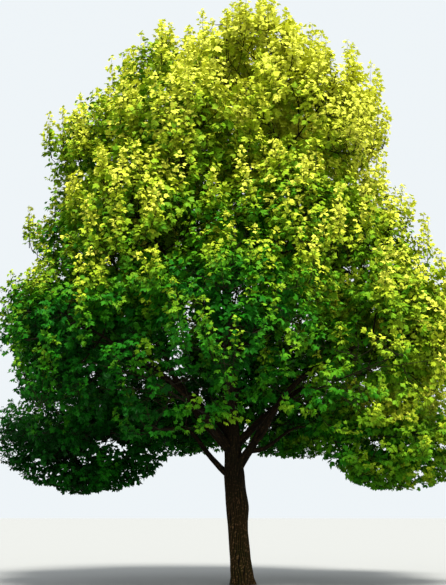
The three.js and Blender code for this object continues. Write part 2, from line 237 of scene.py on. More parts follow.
def planMasses():
    # each mass has a heart at a reach and height, three half sizes and the axes that they lie along
    masses = []
    for row, tier in enumerate(tiers):
        for place in range(tier["count"]):
            key = len(masses) + 1
            name = f"foliage_{tier['name']}_{place + 1}"
            own = ownMasses.get(name, {})
            turn = crownSettings["turnPlay"] * swing(key, 1)
            azimuth = tier["first"] + 360 / tier["count"] * place + turn
            outward = heading(azimuth)
            frontBack = abs(outward[1]) if row == 0 else 0.0
            height = tier["heart"] + crownSettings["skirtLift"] * frontBack
            height += crownSettings["heartPlay"] * swing(key, 2) + own.get("lift", 0.0)
            reach = tier["reach"] + own.get("reach", 0.0) + crownSettings["reachPlay"] * swing(key, 3)
            heart = outward * reach
            heart[0] -= crownSettings["drift"] * height
            heart[2] = height
            radii = np.array(tier["radii"])
            radii[2] -= crownSettings["skirtThinning"] * frontBack
            masses.append({
                "key": key, "row": row, "place": place, "name": name, "azimuth": azimuth, "tier": tier,
                "heart": heart, "radii": radii, "axes": np.array([outward, np.cross(up, outward), up]),
                "stemWay": heading(azimuth, own.get("entry", tier["entry"])),
            })
    heart = trunkMiddle(trunkSettings["height"])
    heart[2] = crownSettings["treeHeight"] - crownSettings["tipRadii"][2]
    masses.append({
        "key": len(masses) + 1, "row": len(tiers), "name": "foliage_tip", "tier": None, "heart": heart,
        "radii": np.array(crownSettings["tipRadii"]), "axes": np.eye(3), "stemWay": up.copy(),
    })
    return masses


def cutSpaces(masses):
    # a mass's space ends halfway to every other heart, less a margin
    hearts = np.array([mass["heart"] for mass in masses])
    for mass in masses:
        across = np.array([heart - mass["heart"] for heart in hearts if heart is not mass["heart"]])
        away = np.linalg.norm(across, axis=1)
        other = away > nearZero
        mass["normals"] = across[other] / away[other, None]
        mass["depths"] = away[other] / 2 - crownSettings["margin"]


def rayReach(mass, points, ways):
    # the nearer of the ellipsoid (root of a t^2 + 2 b t + c = 0) and the planes
    offset = points - mass["heart"]
    step = ways @ mass["axes"].T / mass["radii"]
    start = offset @ mass["axes"].T / mass["radii"]
    a, b, c = (step ** 2).sum(-1), (step * start).sum(-1), (start ** 2).sum(-1) - 1.0
    rounded = (-b + np.sqrt(np.maximum(0.0, b * b - a * c))) / a
    toward = ways @ mass["normals"].T
    room = mass["depths"] - offset @ mass["normals"].T
    flat = np.where(toward > nearZero, room / np.maximum(toward, nearZero), np.inf).min(-1)
    return np.maximum(0.0, np.minimum(rounded, flat))


def isInside(mass, points):
    # inside the ellipsoid and short of every plane
    offset = points - mass["heart"]
    size = ((offset @ mass["axes"].T / mass["radii"]) ** 2).sum(-1)
    return (size <= 1.0) & (offset @ mass["normals"].T <= mass["depths"]).all(-1)


def findFeet(masses):
    # the foot lies footShare of the way back from the heart along the stem, or on the trunk's tip
    for mass in masses:
        if mass["tier"]:
            back = -mass["stemWay"]
            span = rayReach(mass, mass["heart"], back)
            mass["foot"] = mass["heart"] + back * span * crownSettings["footShare"]
        else:
            mass["foot"] = trunkMiddle(trunkSettings["height"]) + up * crownSettings["gap"]
            mass["stemRadius"] = float(trunkRadius(trunkSettings["height"], 0.0))


def cubicPoints(curve, shares):
    # points of the cubic curve through even lengths: cumulated chords give the shares
    fine = np.linspace(0.0, 1.0, curveSteps)[:, None]
    rest = 1.0 - fine
    line = (rest ** 3 * curve[0] + 3 * rest ** 2 * fine * curve[1]
            + 3 * rest * fine ** 2 * curve[2] + fine ** 3 * curve[3])
    chords = np.concatenate([[0.0], np.cumsum(np.linalg.norm(np.diff(line, axis=0), axis=1))])
    wanted = np.asarray(shares) * chords[-1]
    return np.stack([np.interp(wanted, chords, line[:, i]) for i in range(3)], axis=-1)


def planBoughs(masses):
    # each bough: a cubic curve from the trunk, or a bough below, to its mass's foot
    boughs = {}
    waiting = [mass for mass in masses if mass["tier"]]
    waist = tiers[1]
    later = []
    for mass in waiting:
        own = ownBoughs.get(mass["name"], {})
        before = (mass["place"] + waist["count"] - 1) % waist["count"]
        onBough = mass["tier"]["along"] and "leave" not in own
        ruled = f"bough_{waist['name']}_{before + 1}" if onBough else None
        mass["carrier"] = own.get("from", ruled)
        if mass["carrier"]:
            later.append(mass)
    for mass in [m for m in waiting if not m["carrier"]] + later:
        tier, key = mass["tier"], mass["key"]
        own = ownBoughs.get(mass["name"], {})
        if mass["carrier"]:
            start = cubicPoints(boughs[mass["carrier"]]["curve"], [own.get("along", tier["along"])])[0]
        else:
            leave = own.get("leave") or mix(*tier["leave"], (key * crownSettings["leaveSpacing"]) % 1)
            start = trunkMiddle(leave)
        turn = crownSettings["wayPlay"] * swing(key, 7)
        way = heading(mass["azimuth"] + turn, own.get("slope", tier["slope"]))
        end = mass["foot"] - mass["stemWay"] * crownSettings["gap"]
        span = np.linalg.norm(end - start)
        leaving = start + way * span * crownSettings["leaveShare"]
        arriving = end - mass["stemWay"] * span * crownSettings["arriveShare"]
        radius = own.get("radius", tier["radius"])
        mass["stemRadius"] = radius * crownSettings["boughTipShare"]
        boughs[mass["name"].replace("foliage", "bough")] = {
            "curve": np.array([start, leaving, arriving, end]),
            "radius": radius, "span": span, "key": key, "tier": tier["name"],
        }
    return boughs


def boughRadius(radius, share):
    # radius (1 falling to the tip's share with s^taperPower, + a swelling that fades as e^(-collarFade s))
    taper = mix(1.0, crownSettings["boughTipShare"], share ** crownSettings["taperPower"])
    return radius * (taper + crownSettings["collarSwell"] * np.exp(-share * crownSettings["collarFade"]))


masses = planMasses()
cutSpaces(masses)
findFeet(masses)
boughs = planBoughs(masses)
print("planned", len(masses), "masses and", len(boughs), "boughs")


# Meshes from arrays

def meshFromArrays(name, points, faces, smooth=False, relief=None):
    # corners and faces are put in whole; relief is kept as a number on each corner for the bark's colours
    mesh = bpy.data.meshes.new(name)
    points = np.ascontiguousarray(points, np.float32)
    count, sides = faces.shape
    mesh.vertices.add(len(points))
    mesh.vertices.foreach_set("co", points.ravel())
    mesh.loops.add(count * sides)
    mesh.loops.foreach_set("vertex_index", faces.astype(np.int32).ravel())
    mesh.polygons.add(count)
    mesh.polygons.foreach_set("loop_start", np.arange(0, count * sides, sides, dtype=np.int32))
    mesh.polygons.foreach_set("use_smooth", np.full(count, smooth))
    if relief is not None:
        layer = mesh.attributes.new("relief", "FLOAT", "POINT")
        layer.data.foreach_set("value", relief.astype(np.float32).ravel())
    mesh.update(calc_edges=True)
    mesh.validate()
    piece = bpy.data.objects.new(name, mesh)
    bpy.context.scene.collection.objects.link(piece)
    return piece


def gridFaces(rows, sides):
    # triangles of a closed band of rings, and a fan of them to a pole at each end
    ring = np.arange(sides)
    after = (ring + 1) % sides
    low = (np.arange(rows - 1) * sides)[:, None]
    high = low + sides
    band = np.stack([low + ring, low + after, high + after, high + ring], axis=-1).reshape(-1, 4)
    first, last = rows * sides, rows * sides + 1
    top = (rows - 1) * sides
    below = np.stack([np.full(sides, first), after, ring], axis=-1)
    above = np.stack([np.full(sides, last), top + ring, top + after], axis=-1)
    halves = np.concatenate([band[:, [0, 1, 2]], band[:, [0, 2, 3]]])
    return np.concatenate([halves, below, above])


reliefMiddle = 0.6           # relief that lies on the plain surface
poleRelief = 0.5             # and at the poles
ridges = {
    # waves that turn ridges aside: how far, how often round the limb and along it, and share of the seed
    "wanders": [(1.5, 3, 2.3, 1), (1.1, 2, -5.3, 2), (0.7, 7, 11.9, 3)],
    "power": 0.6,            # below 1, ridges are broad and furrows narrow
    "crackDepth": 0.3,       # cross cracks
    "crackPower": 0.5,
    "crackRate": 17.0,       # along the limb
    "crackBend": (2.6, 5, 3.1),  # how far cracks bend, how often round the limb and along it
    "crackFollow": 4.0,      # how far cracks follow the ridges
}


def barkWaves(angle, length, furrows, seed):
    # long ridges that wander, part and meet: relief = |sin A|^power (1 - depth + depth |sin B|^power)
    s = ridges
    wander = sum(far * np.sin(turns * angle + length * rate + share * seed)
                 for far, turns, rate, share in s["wanders"])
    upright = np.abs(np.sin(furrows // 2 * angle + wander)) ** s["power"]
    far, turns, rate = s["crackBend"]
    bend = far * np.sin(turns * angle + length * rate)
    cracks = np.abs(np.sin(length * s["crackRate"] + bend + s["crackFollow"] * wander))
    return upright * (1.0 - s["crackDepth"] + s["crackDepth"] * cracks ** s["crackPower"])


# Trunk with furrowed bark

def makeTrunk(s):
    # level rings at height = H mix(t, t^2, crowding), radius = trunkRadius + depth (relief - its middle)
    share = np.linspace(0.0, 1.0, s["rows"])
    height = (s["height"] * mix(share, share ** 2, s["crowding"]))[:, None]
    angle = (np.arange(s["sides"]) / s["sides"] * 2 * np.pi)[None, :]
    relief = barkWaves(angle, height, s["furrows"], 1.0)
    radius = trunkRadius(height, angle)
    depth = s["furrowDepth"] * np.clip(radius / s["furrowRadius"], s["furrowLeast"], 1.0)
    radius = radius + depth * (relief - reliefMiddle)
    middle = trunkMiddle(height[:, 0])[:, None, :]
    points = np.stack([middle[..., 0] + radius * np.cos(angle), middle[..., 1] + radius * np.sin(angle),
                       np.broadcast_to(height, radius.shape)], axis=-1).reshape(-1, 3)
    points = np.concatenate([points, middle[[0, -1], 0]])
    relief = np.concatenate([relief.ravel(), [poleRelief, poleRelief]])
    return meshFromArrays("trunkBark", points, gridFaces(s["rows"], s["sides"]), True, relief)


# Boughs with finer bark
boughSettings = {
    "sides": 24,
    "rows": 64,
    "furrows": 8,
    "furrowDepth": 0.06,     # share of the radius
    "kinks": 0.20,           # share of the radius that a bough wanders aside
    "kinkRates": (5.0, 6.3),  # sideways and upward
}


def tubeFrames(points):
    # tangent along the line, side = tangent x up, lift = side x tangent
    tangent = unit(np.gradient(points, axis=0))
    side = unit(np.cross(tangent, up))
    return tangent, side, np.cross(side, tangent)


def boughSurface(bough, s):
    # rings round the curve: centre + r (cos a side + sin a lift), with relief and small kinks
    share = np.linspace(0.0, 1.0, s["rows"])
    line = cubicPoints(bough["curve"], share)
    tangent, side, lift = tubeFrames(line)
    angle = (np.arange(s["sides"]) / s["sides"] * 2 * np.pi)[None, :]
    length = (share * bough["span"])[:, None]
    seed = float(bough["key"])
    relief = barkWaves(angle, length, s["furrows"], seed)
    radius = boughRadius(bough["radius"], share)[:, None]
    wander = radius[:, 0] * s["kinks"] * np.sin(np.pi * share)
    line = line + side * (wander * np.sin(length[:, 0] * s["kinkRates"][0] + seed))[:, None]
    line = line + lift * (wander * np.cos(length[:, 0] * s["kinkRates"][1] + seed))[:, None]
    radius = radius * (1.0 + s["furrowDepth"] * (relief - reliefMiddle))
    points = (line[:, None, :] + side[:, None, :] * (radius * np.cos(angle))[..., None]
              - lift[:, None, :] * (radius * np.sin(angle))[..., None]).reshape(-1, 3)
    relief = np.concatenate([relief.ravel(), [poleRelief, poleRelief]])
    return np.concatenate([points, line[[0, -1]]]), relief


def makeBoughs(tierName, s):
    # all boughs of a tier as one piece
    faces, points, relief, base = [], [], [], 0
    pattern = gridFaces(s["rows"], s["sides"])
    for bough in boughs.values():
        if bough["tier"] == tierName:
            spots, waves = boughSurface(bough, s)
            points.append(spots)
            relief.append(waves)
            faces.append(pattern + base)
            base += len(spots)
    return meshFromArrays(tierName + "Boughs", np.concatenate(points), np.concatenate(faces), True,
                          np.concatenate(relief))


# Twigs: each is a quadratic curve a, b, c with a radius at each end

def bendTwigs(mass, start, way, length, rise, base, tip, key, spare=0.02, bend=0.55):
    # leaves along its way and ends toward way + rise up, short of the outside of its space by the spare
    final = unit(way + rise * up)
    length = np.maximum(np.minimum(length, rayReach(mass, start, final) - spare), 0.0)
    control = np.minimum(length * bend, rayReach(mass, start, way) * growth["bendReach"])
    return {
        "a": start, "b": start + way * control[:, None], "c": start + final * length[:, None],
        "base": np.broadcast_to(base, length.shape), "tip": np.broadcast_to(tip, length.shape),
        "length": length, "key": key,
    }


def pickTwigs(twigs, keep):
    # the twigs to keep, with all that is known of each
    return {name: values[keep] for name, values in twigs.items()}


def joinTwigs(groups):
    # groups of twigs one after another
    return {name: np.concatenate([group[name] for group in groups]) for name in groups[0]}


def pointsOn(twigs, share):
    # (1-s)^2 a + 2 s (1-s) b + s^2 c, and the direction (1-s)(b-a) + s (c-b)
    rest = 1.0 - share
    spot = rest ** 2 * twigs["a"] + 2 * share * rest * twigs["b"] + share ** 2 * twigs["c"]
    along = unit(rest * (twigs["b"] - twigs["a"]) + share * (twigs["c"] - twigs["b"]) + tiny * up)
    return spot, along


def sideWays(along, least=0.15):
    # side = along x up where that is at least so long, else along x y; lift = side x along
    side = np.cross(along, up)
    steep = np.linalg.norm(side, axis=-1) < least
    side[steep] = np.cross(along[steep], np.array([0.0, 1.0, 0.0]))
    side = unit(side)
    return side, np.cross(side, along)


def pairWays(along, turn, spread, hand):
    # a pair of twigs: along cos(spread) + hand (side cos(turn) + lift sin(turn)) sin(spread)
    side, lift = sideWays(along)
    aside = side * np.cos(turn)[:, None] + lift * np.sin(turn)[:, None]
    return unit(along * np.cos(spread)[:, None] + hand * aside * np.sin(spread)[:, None])


# How twigs grow, from a mass's stem to its leafy shoots. Shares are places along what carries a twig,
# bases and tips are radii, and a rise is how far a twig turns upward.
growth = {
    "stemReach": 0.95,       # share of the way to the outside
    "stemTip": 0.008,
    "branchNodes": 10,       # pairs of branches on a stem
    "branchShares": (0.07, 0.95),  # of the first pair and of the last
    "branchSpread": (82, 34),  # degrees, at the foot and at the tip
    "branchReach": (0.80, 0.95),
    "branchBase": (0.6, 0.3),  # share of the stem's radius, at its foot and at its tip
    "branchTip": 0.0056,
    "branchLeast": 0.25,     # shorter ones are left out
    "branchletNodes": 5,     # pairs of branchlets on a branch
    "branchletShares": (0.3, 0.96),
    "branchletSpread": (64, 38),
    "branchletLength": (0.66, 1.1),
    "branchletMost": 0.62,   # share of the length of what carries it
    "branchletRise": 1.6,    # times a branch's
    "branchletBase": 0.009,
    "branchletLeast": 0.15,
    "mingle": 0.35,          # how far plumes and their leaves pass the plane between two masses
    "plumeNodes": 7,         # pairs of plumes on a branchlet
    "plumeShares": (0.3, 0.99),
    "plumeSpread": (58, 30),
    "plumeLength": (0.299, 0.506),
    "plumeSpare": (0.05, 0.30),  # room left beyond a plume's tip, least and most
    "plumeBase": 0.0045,
    "plumeTip": 0.0022,
    "plumeLeast": 0.14,
    "hang": 1.6,             # how soon plumes that start downward no longer turn up
    "cell": (0.41, 0.41, 0.41),       # one plume to a cell of this size
    "leaderLength": (0.95, 1.6),
    "leaderBend": 0.25,
    "leaderSpare": 0.10,
    "leaderBase": 0.010,
    "leaderLeast": 0.7,
    "leaderDepth": 0.6,      # leaders end no deeper in the crown than this
    "leaderFold": 0.42,      # and stand only where the crown's folds are at least this full
    "leaderCell": (0.55, 0.55, 1.2),  # one leader's tip to a cell of this size
    "plumeShoots": 2,        # pairs of leafy shoots on a plume
    "leaderShoots": 6,
    "plumeShootLength": 0.17,
    "leaderShootLength": 0.14,
    "shootShares": (0.3, 0.95),
    "shootSpread": (56, 34),
    "shootTaper": (1.2, 0.7),  # how their length changes from foot to tip
    "shootPlay": (0.75, 1.1),
    "shootRise": 0.35,       # times a plume's
    "shootSpare": 0.05,
    "shootBase": 0.0030,
    "shootLeast": 0.05,
    "play": 16.0,            # degrees
    "keyRoom": {"branch": 1000.0, "branchlet": 10000.0, "plume": 100000.0},  # keys set aside for a mass
    "bendReach": 0.985,      # a twig's bend keeps within this share of the way to the outside
    "behind": 1.0,           # a mass whose heart lies farther back than this is behind
    "shell": (0.10, 0.42),   # least depth of plumes' ends, where the crown looks down and where up
    "slopeGain": 1.4,        # how soon the second takes over
    "fold": (0.56, 0.26),    # how much deeper that is in the crown's folds, in front and behind
    "innerFold": 0.1,        # share of that left where a mass faces the trunk
    "hollow": 0.36,          # how much deeper it is in the hollows of undersides
    "hollowGain": 2.0,       # how soon an underside counts in full
    "coveredTiers": 3,       # tiers with another above them
    "shellDepth": (0.6, 1.15),  # from the least depth to the most, in front and behind
    "shellPlay": (0.6, 1.0),
    "innerEdge": (-0.1, 0.1),  # a mass faces the trunk short of these shares outward and upward
    "innerShare": (0.5, 1.0),  # plumes kept there, in front and behind
    "shadeDepth": 1.1,       # leaves deeper than this are in full shade
    "limbRoom": 0.08,        # from a plume to a limb's bark
    "shootRoom": 0.04,
    "boughSpots": 40,        # spots on a limb from which room is measured
    "trunkSpots": 120,
    "trunkFrom": 0.5,
}
# By tier from the skirt up: how far branches and plumes turn upward, how far leaves hang
habits = [
    {"branchRise": 0.02, "plumeRise": 0.25, "leaderRise": 0.8, "droop": 0.75},
    {"branchRise": 0.10, "plumeRise": 0.60, "leaderRise": 1.8, "droop": 0.70},
    {"branchRise": 0.15, "plumeRise": 0.90, "leaderRise": 2.6, "droop": 0.65},
    {"branchRise": 0.18, "plumeRise": 1.10, "leaderRise": 3.2, "droop": 0.60},
    {"branchRise": 0.20, "plumeRise": 1.30, "leaderRise": 3.6, "droop": 0.60},
    {"branchRise": 0.20, "plumeRise": 1.50, "leaderRise": 3.6, "droop": 0.60},
]


def crownPlace(points):
    # depth below the outside of all spaces joined: the most of (1 - |p|) times the least half size;
    # slope: the rise p3 / r3 of that outside's normal, from -1 looking down to 1 looking up
    depth, slope = np.full(len(points), -9.0), np.zeros(len(points))
    for mass in masses:
        local = (points - mass["heart"]) @ mass["axes"].T / mass["radii"]
        own = (1.0 - np.linalg.norm(local, axis=-1)) * mass["radii"].min()
        rise = unit(local / mass["radii"])[:, 2]
        deeper = own > depth
        depth, slope = np.where(deeper, own, depth), np.where(deeper, rise, slope)
    return depth, slope


def shadeOf(mass, points):
    # from 0 in the sun to 1 in the shade: the more of depth / shadeDepth and nearness to the inner side
    depth = crownPlace(points)[0] / growth["shadeDepth"]
    inner = -(points - mass["heart"]) @ mass["axes"][0] / mass["radii"][0] * float(mass["row"] < len(tiers))
    return np.clip(np.maximum(depth, inner), 0.0, 1.0)


# Waves across the crown: their rate, how far they bend, how often, and how they lean with the height
foldWaves = [
    {"rate": 10.6, "bend": 2.0, "turns": 3.1, "slant": 0.9, "lean": 0.8},
    {"rate": 9.7, "bend": 2.2, "turns": 3.5, "slant": -0.8, "lean": -0.7},
]
hollowWaves = {"rates": (4.0, 3.7), "bend": 1.3, "turns": 2.1, "shift": 0.7}


def bentWave(across, aside, height, s):
    # sin(rate a + bend sin(turns b + slant h) + lean h)
    bend = s["bend"] * np.sin(s["turns"] * aside + s["slant"] * height)
    return np.sin(s["rate"] * across + bend + s["lean"] * height)


def folds(points):
    # upright folds about 0.6 m apart, 1 on a fold and 0 between: sin A + sin B held to +-1
    x, y, z = points.T
    both = bentWave(x, y, z, foldWaves[0]) + bentWave(y, x, z, foldWaves[1])
    return 0.5 + 0.5 * np.clip(both, -1.0, 1.0)


def hollows(points):
    # broad hollows about 1.6 m apart, from 0 to 1: 0.5 + 0.5 sin A sin B
    x, y, _ = points.T
    s = hollowWaves
    first = np.sin(s["rates"][0] * x + s["bend"] * np.sin(s["turns"] * y))
    return 0.5 + 0.5 * first * np.sin(s["rates"][1] * y + s["shift"])


def sampleLimbs():
    # spots along every limb, with the limb's radius there
    shares = np.linspace(0.0, 1.0, growth["boughSpots"])
    levels = np.linspace(growth["trunkFrom"], trunkSettings["height"], growth["trunkSpots"])
    spots = [cubicPoints(bough["curve"], shares) for bough in boughs.values()]
    radii = [boughRadius(bough["radius"], shares) for bough in boughs.values()]
    return np.concatenate(spots + [trunkMiddle(levels)]), np.concatenate(radii + [trunkRadius(levels, 0.0)])


limbSpots, limbRadii = sampleLimbs()


def clearOfLimbs(points, room):
    # farther from every sampled spot on a limb than its radius and some room
    kept = np.ones(len(points), bool)
    for spot, radius in zip(limbSpots, limbRadii):
        kept &= ((points - spot) ** 2).sum(-1) > (radius + room) ** 2
    return kept


def growPairs(parents, kind, level, nodes):
    # opposite pairs at each node, a quarter turn on from node to node, with a key of its own for each twig
    shares, spreads = growth[kind + "Shares"], growth[kind + "Spread"]
    groups = []
    for node in range(nodes):
        share = mix(*shares, node / max(1, nodes - 1))
        spot, along = pointsOn(parents, share)
        for number, hand in enumerate((-1.0, 1.0)):
            key = parents["key"] * 13 + node * 2 + number + level * 101
            turn = np.radians(90.0 * (node % 2) + growth["play"] * swing(key, level, 1))
            spread = np.radians(mix(*spreads, share) + growth["play"] * swing(key, level, 2))
            groups.append({"spot": spot, "way": pairWays(along, turn, spread, hand), "key": key,
                           "share": np.full(len(key), share), "parent": np.arange(len(key))})
    return joinTwigs(groups)


def newKeys(mass, kind, pairs):
    # the mass's key times the keys set aside for it, then one more for each twig
    return mass["key"] * growth["keyRoom"][kind] + np.arange(len(pairs["key"]))


def carriedBy(carriers, pairs, twigs):
    # notes what carries each twig and where, for what is cut back later
    return {**twigs, "carrier": carriers["key"][pairs["parent"]], "place": pairs["share"]}


def keepPlumes(mass, behind, plumes):
    # plumes that face out, and by chance others, between the least and the most depth of the leafy shell
    offset = (plumes["c"] - mass["heart"]) @ mass["axes"].T / mass["radii"]
    outward, upward = offset[:, 0], offset[:, 2]
    shown = (outward > growth["innerEdge"][0]) | (upward > growth["innerEdge"][1])
    shown |= chance(plumes["key"], 9) < growth["innerShare"][behind]
    openness = outward if mass["row"] < growth["coveredTiers"] else np.maximum(outward, upward)
    outer = np.clip(0.5 + openness, growth["innerFold"], 1.0)
    depth, slope = crownPlace(plumes["c"])
    least = mix(*growth["shell"], outer * np.clip(0.5 + growth["slopeGain"] * slope, 0.0, 1.0))
    least += growth["fold"][behind] * outer * (1.0 - folds(plumes["c"]))
    least += growth["hollow"] * np.clip(-growth["hollowGain"] * slope, 0.0, 1.0) * hollows(plumes["c"])
    most = least + growth["shellDepth"][behind] * mix(*growth["shellPlay"], chance(plumes["key"], 6))
    kept = (plumes["length"] > growth["plumeLeast"]) & shown & (depth > least) & (depth < most)
    return pickTwigs(plumes, kept & clearOfLimbs(plumes["c"], growth["limbRoom"]))


def keepLeaders(leaders):
    # long leaders that end near the crown's outside, on its folds
    kept = leaders["length"] > growth["leaderLeast"]
    kept &= crownPlace(leaders["c"])[0] < growth["leaderDepth"]
    kept &= folds(leaders["c"]) > growth["leaderFold"]
    return pickTwigs(leaders, kept & clearOfLimbs(leaders["c"], growth["limbRoom"]))


def growFrame(mass):
    # stem, branches, branchlets, plumes and leaders, each in pairs on those before
    habit = habits[mass["row"]]
    behind = int(mass["heart"][1] > growth["behind"])
    key = np.array([float(mass["key"])])
    foot = mass["foot"][None, :]
    way = mass["stemWay"][None, :]
    reach = rayReach(mass, foot, way) * growth["stemReach"]
    stem = bendTwigs(mass, foot, way, reach, 0.0, mass["stemRadius"], growth["stemTip"], key)

    pairs = growPairs(stem, "branch", 1, growth["branchNodes"])
    keys = newKeys(mass, "branch", pairs)
    length = rayReach(mass, pairs["spot"], pairs["way"]) * mix(*growth["branchReach"], chance(keys, 3))
    base = mix(*growth["branchBase"], pairs["share"]) * mass["stemRadius"]
    branches = bendTwigs(mass, pairs["spot"], pairs["way"], length, habit["branchRise"], base,
                         growth["branchTip"], keys)
    branches = carriedBy(stem, pairs, branches)
    branches = pickTwigs(branches, branches["length"] > growth["branchLeast"])

    carriers = joinTwigs([stem, branches])
    pairs = growPairs(carriers, "branchlet", 2, growth["branchletNodes"])
    keys = newKeys(mass, "branchlet", pairs)
    most = carriers["length"][pairs["parent"]] * growth["branchletMost"]
    length = np.minimum(mix(*growth["branchletLength"], chance(keys, 4)), most)
    branchlets = bendTwigs(mass, pairs["spot"], pairs["way"], length,
                           growth["branchletRise"] * habit["branchRise"],
                           growth["branchletBase"], growth["plumeTip"], keys)
    branchlets = carriedBy(carriers, pairs, branchlets)
    branchlets = pickTwigs(branchlets, branchlets["length"] > growth["branchletLeast"])

    # from here on, twigs and leaves may pass the planes a little, and mingle with the neighbours'
    mass = {**mass, "depths": mass["depths"] + growth["mingle"]}
    carriers = joinTwigs([stem, branches, branchlets])
    pairs = growPairs(carriers, "plume", 3, growth["plumeNodes"])
    keys = newKeys(mass, "plume", pairs)
    length = mix(*growth["plumeLength"], chance(keys, 5))
    rise = habit["plumeRise"] * np.clip(1.0 + growth["hang"] * pairs["way"][:, 2:], 0.0, 1.0)
    spare = mix(*growth["plumeSpare"], chance(keys, 8))
    plumes = bendTwigs(mass, pairs["spot"], pairs["way"], length, rise,
                       growth["plumeBase"], growth["plumeTip"], keys, spare)
    length = mix(*growth["leaderLength"], chance(keys, 10))
    spare = growth["leaderSpare"] + growth["fold"][behind] * (1.0 - folds(pairs["spot"]))
    leaders = bendTwigs(mass, pairs["spot"], pairs["way"], length, habit["leaderRise"],
                        growth["leaderBase"], growth["plumeTip"], keys, spare, growth["leaderBend"])
    return {"mass": mass, "stem": stem, "branches": branches, "branchlets": branchlets,
            "plumes": keepPlumes(mass, behind, carriedBy(carriers, pairs, plumes)),
            "leaders": keepLeaders(carriedBy(carriers, pairs, leaders))}


def firstInCells(spots, order, cell):
    # true for the first spot in each cell of space, in the order given
    cells = np.floor(spots[order] / np.array(cell)).astype(int)
    _, first = np.unique(cells, axis=0, return_index=True)
    kept = np.zeros(len(spots), bool)
    kept[order[first]] = True
    return kept


def thinTwigs(frames, kind, cell):
    # one twig of the kind to a cell, taken by chance, and fewer in the masses that are sparse
    tips = np.concatenate([part[kind]["c"] for part in frames])
    keys = np.concatenate([part[kind]["key"] for part in frames])
    kept = firstInCells(tips, np.argsort(chance(keys, 7)), cell)
    start = 0
    for part in frames:
        twigs, mass = part[kind], part["mass"]
        count = len(twigs["key"])
        fill = ownMasses.get(mass["name"], {}).get("fill", (1.0, 1.0))
        rise = (twigs["c"][:, 2] - mass["heart"][2]) / mass["radii"][2]
        full = chance(twigs["key"], 12) < mix(*fill, 0.5 + 0.5 * rise)
        part[kind] = pickTwigs(twigs, kept[start:start + count] & full)
        start += count


def trimTwigs(twigs, carried):
    # cut at the share s of the last twig on it: b' = mix(a, b, s), c' = mix(b', mix(b, c, s), s)
    last = np.zeros(len(twigs["key"]))
    for group in carried:
        number = np.minimum(np.searchsorted(twigs["key"], group["carrier"]), len(last) - 1)
        stands = twigs["key"][number] == group["carrier"]
        np.maximum.at(last, number[stands], group["place"][stands])
    share = last[:, None]
    middle = mix(twigs["a"], twigs["b"], share)
    end = mix(middle, mix(twigs["b"], twigs["c"], share), share)
    tip = mix(twigs["base"], twigs["tip"], last)
    return pickTwigs({**twigs, "b": middle, "c": end, "tip": tip}, last > 0)


def growShoots(part):
    # shoots stand in opposite pairs on plumes and leaders, and what carries these is cut past the last
    mass = part["mass"]
    carried = [part["plumes"], part["leaders"]]
    for kind in ("branchlets", "branches", "stem"):
        part[kind] = trimTwigs(part[kind], carried)
        carried.append(part[kind])
    groups = []
    for kind in ("plume", "leader"):
        twigs = part[kind + "s"]
        pairs = growPairs(twigs, "shoot", 4, growth[kind + "Shoots"])
        length = growth[kind + "ShootLength"] * mix(*growth["shootTaper"], pairs["share"])
        length *= mix(*growth["shootPlay"], chance(pairs["key"], 11))
        rise = growth["shootRise"] * habits[mass["row"]]["plumeRise"]
        shoots = bendTwigs(mass, pairs["spot"], pairs["way"], length, rise,
                           growth["shootBase"], 0.0, pairs["key"], growth["shootSpare"])
        shoots["share"] = pairs["share"]
        shoots["plume"] = twigs["key"][pairs["parent"]]
        shoots["leads"] = np.full(len(shoots["key"]), float(kind == "leader"))
        groups.append(shoots)
    shoots = joinTwigs(groups)
    clear = clearOfLimbs(shoots["c"], growth["shootRoom"])
    part["shoots"] = pickTwigs(shoots, (shoots["length"] > growth["shootLeast"]) & clear)


def hornFaces(rows, sides):
    # rings joined by bands, a flat cap on the first ring and a point past the last
    ring = np.arange(sides)
    after = (ring + 1) % sides
    faces = []
    for row in range(rows - 1):
        low = row * sides
        faces += [np.stack([low + ring, low + after, low + sides + after], axis=-1),
                  np.stack([low + ring, low + sides + after, low + sides + ring], axis=-1)]
    top = (rows - 1) * sides
    faces.append(np.stack([top + ring, top + after, np.full(sides, rows * sides)], axis=-1))
    faces.append(np.stack([np.zeros(sides - 2, int), ring[2:], ring[1:-1]], axis=-1))
    return np.concatenate(faces)


def twigSurface(twigs, sides, rows):
    # rings round each curve at shares 0 to 1 - 1/rows: spot + r (cos a side + sin a lift), then its end
    count = len(twigs["key"])
    angle = np.arange(sides) / sides * 2 * np.pi
    across, upward = np.cos(angle)[None, :, None], np.sin(angle)[None, :, None]
    rings = []
    for row in range(rows):
        share = row / rows
        spot, along = pointsOn(twigs, share)
        side, lift = sideWays(along)
        radius = mix(twigs["base"], twigs["tip"], share)[:, None, None]
        rings.append(spot[:, None, :] + (side[:, None, :] * across - lift[:, None, :] * upward) * radius)
    points = np.concatenate(rings + [twigs["c"][:, None, :]], axis=1)
    pattern = hornFaces(rows, sides)
    faces = pattern[None] + (np.arange(count) * points.shape[1])[:, None, None]
    return points.reshape(-1, 3), faces.reshape(-1, 3)


def makeTwigs(name, parts):
    # parts of one kind joined into one piece
    points, faces, base = [], [], 0
    for twigs, sides, rows in parts:
        spots, pattern = twigSurface(twigs, sides, rows)
        points.append(spots)
        faces.append(pattern + base)
        base += len(spots)
    return meshFromArrays(name, np.concatenate(points), np.concatenate(faces), True)


